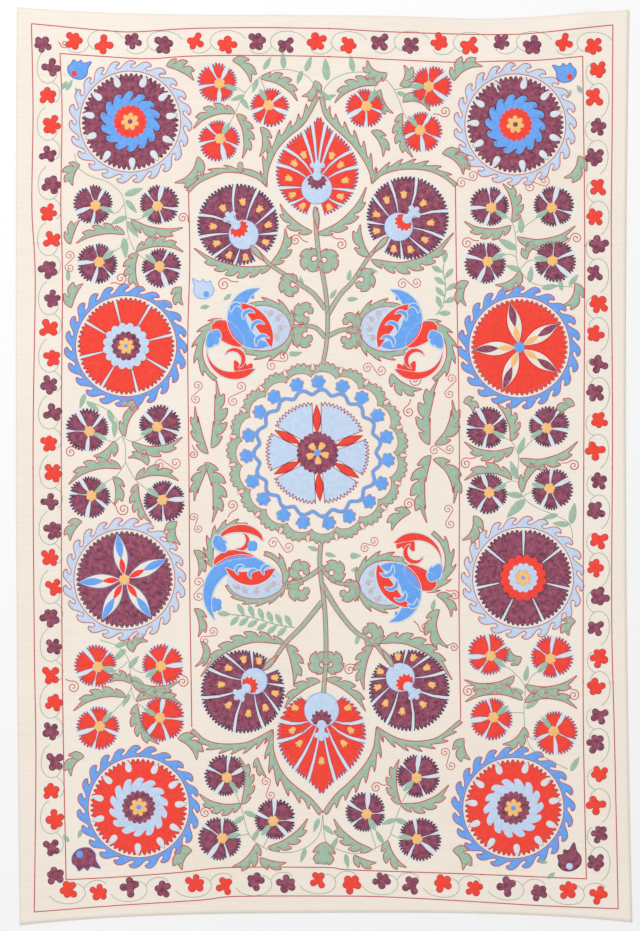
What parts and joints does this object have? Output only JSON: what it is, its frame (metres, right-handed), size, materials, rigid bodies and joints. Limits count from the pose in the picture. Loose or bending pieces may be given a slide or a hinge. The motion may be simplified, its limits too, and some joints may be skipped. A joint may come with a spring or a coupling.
{
  "type": "suzani embroidered textile",
  "caption": "Flat rectangular cotton cloth with a turned hem, covered with silk-stitched rosettes, palmettes and vines, laid out on a surface.",
  "frame": {"origin": "centre of the cloth at its underside, where it rests", "axes": "+Y along the length towards the top of the design, +X across the width, +Z out of the embroidered face"},
  "size_m": [1.5106, 2.25, 0.0112],
  "materials": {
    "ground_cotton": "plain-woven cotton, matt",
    "red_silk": "silk couching stitch, soft sheen",
    "plum_silk": "silk couching stitch, soft sheen",
    "navy_silk": "silk chain stitch, soft sheen",
    "blue_silk": "silk couching stitch, soft sheen",
    "pale_blue_silk": "silk couching stitch, soft sheen",
    "green_silk": "silk couching stitch, soft sheen",
    "yellow_silk": "silk couching stitch, soft sheen",
    "outline_silk": "dusty red silk chain stitch"
  },
  "bodies": {
    "root": {"ground_cloth": "ground_cotton"}
  },
  "joints": []
}
